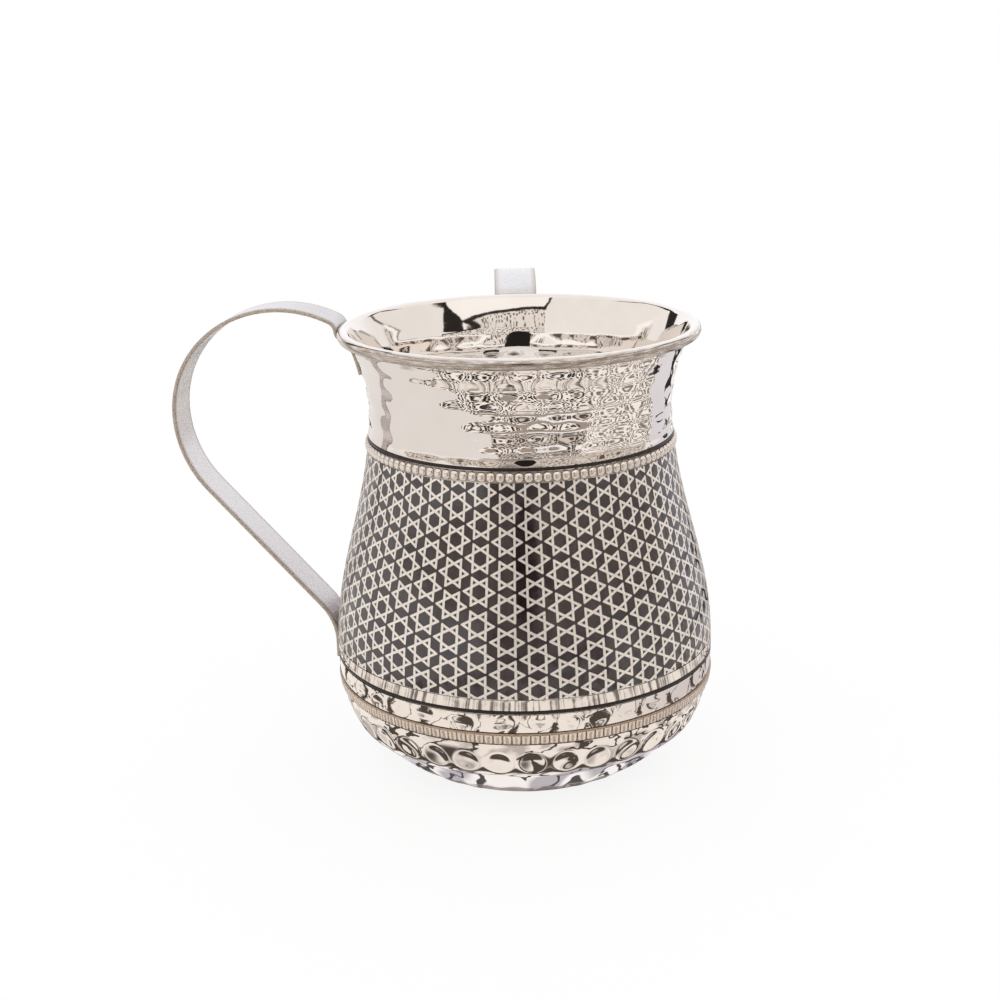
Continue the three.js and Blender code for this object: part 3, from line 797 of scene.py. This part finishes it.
def stretched(place, factors):
    """The place with each of its axes multiplied, so that a pattern gets longer or shorter."""
    return place.node("VectorMath", {0: place, 1: factors}, operation="MULTIPLY")


def bump(height, distance, base=None):
    """Tilts the surface by a height pattern, given as a depth in millimetres."""
    inputs = {"Strength": 1.0, "Distance": distance * MM, "Height": height}
    if base:
        inputs["Normal"] = base
    return height.node("Bump", inputs)


def painted(ground, *layers):
    """Paints over a ground colour, one layer after another. A layer is a mask and its colour."""
    for mask, colour in layers:
        ground = mask.mix(ground, colour)
    return ground


# %% A material from a recipe
def bare_tree(owner):
    """Empties the node tree of a material or a world, and gives a wire to build from."""
    owner.use_nodes = True
    owner.node_tree.nodes.clear()
    return Wire(owner.node_tree)


def finish(name, piece, recipe):
    """A new material on a piece. recipe takes the place on it and returns the shader's sockets."""
    material = bpy.data.materials.new(name)
    start = bare_tree(material)
    place = start.node("TexCoord", None, "Object")
    shader = start.node("BsdfPrincipled", recipe(place))
    start.node("OutputMaterial", {"Surface": shader})
    piece.data.materials.append(material)
    print(f"{name}: {len(material.node_tree.nodes)} nodes")


# %% [markdown]
# ## Polished sheet
# The cup is polished after it is hammered, so it is nearly a mirror, and every hammer mark bends
# what it shows. A ripple in the polish would blur that, so it is very faint. The curl is rougher
# along its grain, under brown streaks of painted shade. The tuck under the curl is a band of
# painted shadow, and the foot stays dull. The buffing wheel does not reach far into the mouth, so
# the inside turns satin below the neck.

# %% The cup's polish
CURL_ZONE, TUCK_ZONE = (136.8, 140.6), (135.5, 139.0)
FOOT_FADE = (5.8, 4.6)
PALE_FADE, SATIN_FADE = (131, 118), (123, 108)


def polished(place):
    x, y, z = (part * METRES_TO_MM for part in parts_of(place))
    reach = (x * x + y * y).math("SQRT")
    sheen = noise(place, 60, 4.0, 0.6)
    grain = noise(stretched(place, (1, 1, 9)), 260, 3.0, 0.65)
    # Painted shade: brown streaks over the curl below its top, along its grain, where it is also
    # rougher.
    curl = z.window(*CURL_ZONE, 0.4) * reach.step(53.0, 53.8) * grain.step(0.24, 0.62)
    # Painted shadow: a nearly black band on the neck's outer face just under the curl, where the
    # curl shades it.
    under_curl = z.window(*TUCK_ZONE, 0.35) * reach.step(53.6, 52.9)
    tuck_shadow = under_curl * (reach - 0.43 * z).step(-7.0, -6.7)
    inside = mark_of(place, "inside")
    foot = (1.0 - inside) * z.step(*FOOT_FADE) * noise(place, 170).step(0.36, 0.46)
    satin = inside * z.step(*SATIN_FADE)
    colour = painted(
        sheen.step(0.3, 0.7).mix((0.8, 0.74, 0.69), (0.84, 0.78, 0.73)),
        (inside * z.step(*PALE_FADE), (0.86, 0.835, 0.815)),
        (curl * 0.9, (0.38, 0.31, 0.26)),
        (foot, (0.44, 0.37, 0.33)),
        (tuck_shadow, (0.08, 0.065, 0.055)),
    )
    dullness = 0.15 * curl + 0.45 * foot + (0.08 + 0.1 * grain) * satin
    return {
        "Base Color": colour,
        "Metallic": 1.0 - 0.85 * foot - 0.3 * satin,
        "Roughness": 0.025 + 0.03 * sheen + dullness,
        "Normal": bump(noise(place, 240), 0.012),
    }


finish("polished_sheet", body, polished)


# %% The star straps
def strap_steel(place):
    ripple = noise(place, 900)
    return {
        "Base Color": ripple.step(0.35, 0.7).mix((0.91, 0.84, 0.77), (0.97, 0.9, 0.83)),
        "Metallic": 0.5,
        "Roughness": 0.24 + 0.1 * noise(place, 240),
        "Normal": bump(ripple, 0.02),
    }


finish("strap_steel", lattice, strap_steel)


# %% The enamel
def enamel(place):
    """Nearly black and glossy, with clouds and fine pale specks in it."""
    speck = noise(place, 3200, 2.0, 0.7)
    cloud = noise(place, 180, 3.0, 0.6)
    dark = cloud.step(0.3, 0.75).mix((0.014, 0.006, 0.006), (0.036, 0.022, 0.021))
    return {
        "Base Color": (speck.step(0.62, 0.74) * 0.5).mix(dark, (0.16, 0.13, 0.12)),
        "Roughness": 0.08 + 0.08 * cloud,
        "IOR": 1.8,
        "Normal": bump(noise(place, 700), 0.02),
    }


def line_enamel(place):
    """The narrow lines are duller and shine less."""
    cloud = noise(place, 300, 3.0, 0.6)
    return {
        "Base Color": cloud.step(0.3, 0.75).mix((0.022, 0.016, 0.014), (0.042, 0.033, 0.029)),
        "Roughness": 0.25 + 0.15 * cloud,
        "IOR": 1.3,
        "Normal": bump(noise(place, 900), 0.02),
    }


finish("ground_enamel", ground, enamel)
for piece in (upper_line, lower_line):
    finish(piece.name + "_enamel", piece, line_enamel)


# %% Pearls and tongues
def pearl_steel(place):
    """Bright domes, with brown painted shade in the gaps between them."""
    high = mark_of(place, "relief").step(0.08, 0.5)
    brown_cloud = noise(place, 900, 3.0, 0.6)
    # Painted shade: the strip in the gaps and round the feet of the domes is brown, in a mottled
    # tone.
    low = brown_cloud.step(0.3, 0.7).mix((0.34, 0.25, 0.19), (0.58, 0.48, 0.4))
    return {
        "Base Color": high.mix(low, (0.84, 0.77, 0.71)),
        "Metallic": 1.0,
        "Roughness": 0.42 - 0.3 * high,
        "Normal": bump(noise(place, 900), 0.05),
    }


def milled_steel(place):
    """Paler crests over brown grooves, and a brown border along the top."""
    high = mark_of(place, "relief").step(0.2, 0.95)
    brown_cloud = noise(place, 1100, 3.0, 0.6)
    low = brown_cloud.step(0.3, 0.7).mix((0.29, 0.215, 0.16), (0.44, 0.355, 0.28))
    border = mark_of(place, "climb").step(0.8, 0.88)
    return {
        "Base Color": painted(low, (high, (0.88, 0.77, 0.67)), (border, (0.5, 0.39, 0.3))),
        "Metallic": 1.0,
        "Roughness": 0.45 - 0.18 * high,
        "Normal": bump(noise(place, 1800, 3.0), 0.015),
    }


finish("pearl_steel", pearls, pearl_steel)
finish("milled_steel", milled, milled_steel)


# %% The handles
def handle_steel(place, pale=(0.63, 0.6, 0.61), worn_to=(0.34, 0.26, 0.21)):
    """Brushed faces, the one inside the loop painted paler as if lit, and worn edges."""
    strip = mark_of(place, "strip", "Vector")
    edge = parts_of(strip)[2]
    brushed = noise(stretched(strip, (9.0, 0.35, 0.0)), 1.0, 3.0, 0.7)
    cloud = noise(place, 120, 4.0, 0.6)
    speck = noise(place, 2400, 2.0, 0.7)
    light = tuple(part + 0.05 for part in pale)
    # Painted light: the face inside the loop is the same steel, painted paler.
    lit_inner_face = (0.81, 0.78, 0.785)
    face = painted(cloud.step(0.3, 0.7).mix(pale, light), (mark_of(place, "inner"), lit_inner_face))
    worn = speck.step(0.5, 0.62).mix((0.6, 0.52, 0.45), worn_to)
    return {
        "Base Color": edge.mix(face, worn),
        "Metallic": 0.45,
        "Roughness": 0.22 + 0.1 * brushed + 0.25 * edge,
        "Normal": bump(brushed, 0.006, bump(noise(place, 420), 0.008)),
    }


def rear_steel(place):
    """The same steel, paler: the light comes down on the rear bar."""
    return handle_steel(place, pale=(0.74, 0.73, 0.74), worn_to=(0.55, 0.5, 0.5))


finish("side_strip_steel", side_strip, handle_steel)
finish("rear_strip_steel", rear_strip, rear_steel)

# %% [markdown]
# ## The studio
# A mirror shows what stands round it, so the studio is part of the finish. The world is a pale
# room, painted by direction: a bright ceiling, a large soft box in a dark frame on each side, and
# a spotted middle with a wavy top over a bright line. The camera sees plain white behind the cup.

# %% The room
FRAME_DARK = (0.03, 0.025, 0.023)


def scattered(side, rise, spacing=11.0, small=0.1):
    """1 inside small round spots, strewn this many degrees apart over two angles, 0 elsewhere."""
    spot = side.node("CombineXYZ", {"X": side * (1 / spacing), "Y": rise * (1 / spacing)})
    away = spot.node("TexVoronoi", {"Vector": spot}, "Distance", voronoi_dimensions="2D")
    return (away - 0.36 * noise(spot, 0.6, 1.0)).step(small + 0.04, small - 0.04)


def room_colours(way):
    """Colours by direction, in degrees: side is 0 towards the camera and grows to the right, and
    rise is 0 level."""
    x, y, z = parts_of(way)
    side = x.math("ARCTAN2", -y) * DEGREES
    rise = z.math("ARCSINE") * DEGREES
    apart = side.math("ABSOLUTE")
    spots = scattered(side, rise)
    waver = noise(way, 3.0) - 0.5

    def panel(sides, rises, soft=0.6):
        return side.window(*sides, soft) * rise.window(*rises, soft)

    # In front: a spotted field under a wavy dark line, with a dark wedge at its right end.
    lifted = rise + (side + 8) * (side + 8) * 0.0034 + 4 * waver
    middle = side.window(-22, 62, 0.6) * rise.step(4, 5)
    wedge = side.window(42, 62, 0.6) * rise.step(24.5, 25.5) * (rise - 0.62 * side).step(0.8, -0.2)
    # On the left: a soft box and its frame, whose right edges slant above 33 degrees.
    climb = (rise - 33).math("MAXIMUM", 0.0)
    lean = side + climb * climb * 0.1
    left_frame = side.step(-143.6, -142.4) * lean.step(-20, -21) * rise.window(33.5, 45, 0.6)
    left_box = side.step(-132.6, -131.4) * lean.step(-22.6, -23.4) * rise.window(17, 42, 0.6)
    # Just above level, all round but for the back: a spotted band with ovals and a bright line.
    level = rise + 7 * waver
    around = apart.step(118, 112)
    ovals = (side * (FULL_TURN / 15)).math("COSINE").step(0.2, 0.6) * level.window(10.2, 13.4, 0.5)
    disc = (side - 1) * (side - 1) * 0.012 + (rise - 13) * (rise - 13) * 0.01 + waver
    return painted(
        rise.step(-25, 55).mix((0.97, 0.96, 0.95), (1.05, 1.04, 1.03)),
        (apart.step(125, 150), (1.12, 1.13, 1.17)),
        (panel((-50, 60), (20, 62), 1), (1.13, 1.12, 1.11)),
        (middle * lifted.step(37.0, 36.4), FRAME_DARK),
        (middle * lifted.step(34.6, 34.0), spots.mix((0.95, 0.9, 0.85), FRAME_DARK)),
        (wedge, FRAME_DARK),
        (panel((-143, -132), (4, 45)), FRAME_DARK),
        (left_frame, FRAME_DARK),
        (left_box, (1.0, 0.985, 0.97)),
        (panel((60, 136), (16, 38)), FRAME_DARK),
        (panel((60, 130), (17, 34)), (0.97, 0.955, 0.94)),
        (around * level.window(3, 15, 1), spots.mix((0.8, 0.73, 0.67), (0.16, 0.12, 0.1))),
        (around * ovals, (0.12, 0.09, 0.07)),
        (around * level.window(14.6, 16.6, 0.5), (1.16, 1.14, 1.11)),
        (panel((-22, 100), (-16, 3), 2), spots.mix((0.7, 0.65, 0.6), (0.06, 0.05, 0.045))),
        (panel((-26, 14), (-12, 3), 4), (0.3, 0.26, 0.24)),
        (disc.step(1.05, 0.9), (0.02, 0.017, 0.016)),
    )


def make_room():
    world = bpy.data.worlds.new("studio")
    bpy.context.scene.world = world
    start = bare_tree(world)
    way = start.node("TexCoord", None, "Generated")
    seen = start.node("LightPath", None, "Is Camera Ray")
    shown = seen.mix(room_colours(way), (1, 1, 1))
    light = start.node("Background", {"Color": shown, "Strength": 1.0})
    start.node("OutputWorld", {"Surface": light})


make_room()

# %% [markdown]
# ## The table
# The camera sees a white table with a faint shadow. The steel sees more of it: board lies on the
# left, and the right is cluttered, which the hammer marks bend into dots and curls.

# %% The table top
NECK_OUT, NECK_UP = 50, 118.0
DARK_GLOW = (0.09, 0.075, 0.065)
TABLE_REACH, TABLE_DROP = 3.0, 0.00002


def table_colours(place):
    """Rings by distance: pale under the bowl, a thin ring of painted shadow, a mottled one,
    blotches that the plain band shows, and a fan of rays. Beyond them lies plain board on the left,
    and spots on the right, spaced by neck_dip, the angle below level at which the neck sees a
    place."""
    x, y = (part * METRES_TO_MM for part in parts_of(place)[:2])
    away = (x * x + y * y).math("SQRT")
    side = x.math("ARCTAN2", -y) * DEGREES
    neck_dip = (away - NECK_OUT).math("ARCTAN2", NECK_UP) * DEGREES
    cloud = noise(place, 30, 3.0, 0.6)
    uneven = cloud - 0.5
    veins = uneven.math("ABSOLUTE").step(0.02, 0.012)

    # The right: spots, and over them a dark shelf, a pale gap and low clutter.
    spots = scattered(side, neck_dip, 13.0, 0.21) * (1.0 - 0.22 * side.step(38, 62))
    shelf = (neck_dip + 5 * uneven).window(61, 66.5, 0.8) * side.window(-26, 48, 3)
    gap = (neck_dip + 5 * uneven).window(67, 70, 0.6) * side.window(8, 52, 2)
    low = (neck_dip + 8 * uneven).window(71, 85, 1) * side.window(-26, 46, 2)
    clutter = painted(
        spots.mix((1.12, 1.07, 1.02), (0.025, 0.02, 0.018)),
        (shelf, (0.42, 0.36, 0.32)),
        (gap, (1.08, 1.08, 1.12)),
        (low, spots.mix((0.76, 0.69, 0.64), (0.06, 0.05, 0.045))),
    )
    # The back right is streaked, and the left is board.
    streaked = side.step(108, 113) * side.step(150, 146)
    tilt = side.node("CombineXYZ", {"X": side * 0.04, "Y": neck_dip * 0.10})
    streaks = noise(tilt, 1.0, 3.0, 0.6).step(0.555, 0.585)
    board = (x + 0.02 * y).step(-162, -168) * side.step(-21, -23)
    # The fan of rays, and the blotches inside it.
    grain = noise(stretched(place, (1, 1, 0)), 70)
    rays = noise(side * 0.2, 1.0, 3.0, 0.75) * 0.85 + grain * 0.15
    fan = rays.step(0.48, 0.585).mix((1.0, 0.95, 0.9), (0.22, 0.2, 0.19))
    lobes = (side * (FULL_TURN / 20.6) + 5 * noise(place, 9, 1.0)).math("COSINE")
    blotch = (lobes + 1.4 * noise(place, 150, 3.0, 0.7)).step(1.42, 1.56) * away.window(105, 121, 2)
    pale = side.step(20, 90).mix((1.04, 0.99, 0.94), (0.76, 0.72, 0.72))
    blotched = (blotch + veins).math("MINIMUM", 1.0).mix(pale, DARK_GLOW)
    # The mottled ring with its lumps, and the ground under the bowl.
    lumps = side.window(3, 13, 2) * away.window(62, 70, 2)
    lumps = lumps + side.window(-38, -28, 3) * away.window(64, 78, 3)
    # Painted shadow: the thin dark ring under the belly's edge stands in for the table's shade
    # under the cup, as the steel sees it. Veins and lumps are laid over it.
    belly_shade_and_marks = away.window(57.5, 61.5, 0.8) + veins + lumps * cloud.step(0.38, 0.46)
    mottled = noise(place, 70).step(0.46, 0.62).mix((1.04, 1.0, 0.96), (0.6, 0.55, 0.52))
    creases = (noise(place, 60) - 0.5).math("ABSOLUTE").step(0.032, 0.018)
    under = noise(place, 50, 1.0).step(0.44, 0.54).mix((1.06, 1.05, 1.06), (0.56, 0.54, 0.6))
    return painted(
        clutter,
        (streaked, streaks.mix((0.84, 0.83, 0.89), (0.03, 0.03, 0.03))),
        (board, (0.9, 0.88, 0.87)),
        (away.step(166, 158), fan),
        (away.step(134, 124), blotched),
        (away.step(96, 88), belly_shade_and_marks.math("MINIMUM", 1.0).mix(mottled, DARK_GLOW)),
        (away.step(57.6, 57.0), creases.mix(under, (0.1, 0.09, 0.09))),
    )


def make_table():
    """The camera sees its white paint and shadow, and the steel sees its colours as a glow."""
    mesh = bpy.data.meshes.new("table_top")
    square = [(-1, -1), (1, -1), (1, 1), (-1, 1)]
    corners = [(x * TABLE_REACH, y * TABLE_REACH, -TABLE_DROP) for x, y in square]
    mesh.from_pydata(corners, [], [(0, 1, 2, 3)])
    table = add_object("table_top", mesh)
    material = bpy.data.materials.new("table_top")
    start = bare_tree(material)
    place = start.node("TexCoord", None, "Object")
    seen = start.node("LightPath", None, "Is Camera Ray")
    mirrored = start.node("LightPath", None, "Is Glossy Ray")
    paint = start.node("BsdfDiffuse", {"Color": (0.9, 0.9, 0.9, 1)})
    tone = seen.mix(table_colours(place), (1.03, 1.03, 1.03))
    glow = start.node("Emission", {"Color": tone})
    away = place.node("VectorMath", {0: place}, "Value", operation="LENGTH")
    share = seen * 0.85 + mirrored * away.step(0.03, 0.042)
    both = start.node("MixShader", {0: share, 1: paint, 2: glow})
    start.node("OutputMaterial", {"Surface": both})
    table.data.materials.append(material)


make_table()

# %% [markdown]
# ## The camera
# It stands half a metre in front of the cup, looks a little down, and is tilted by just over a
# degree.

# %% Camera
LENS, SENSOR_WIDTH = 58.587, 36
CLIP_NEAR, CLIP_FAR = 0.02, 20
CAMERA_PLACE = (-6.97, -496.48, 231.9)
PITCH, ROLL = 0.2893, 0.0234
camera_data = bpy.data.cameras.new("camera")
camera_data.lens, camera_data.sensor_width = LENS, SENSOR_WIDTH
camera_data.clip_start, camera_data.clip_end = CLIP_NEAR, CLIP_FAR
camera = add_object("camera", camera_data)
camera.matrix_world = (
    Matrix.Translation([part * MM for part in CAMERA_PLACE])
    @ Matrix.Rotation(QUARTER_TURN - PITCH, 4, "X")
    @ Matrix.Rotation(-ROLL, 4, "Z")
)
bpy.context.scene.camera = camera

# %% [markdown]
# ## The view
# The view is left plain.

# %% Finish
bpy.context.scene.view_settings.view_transform = "Standard"
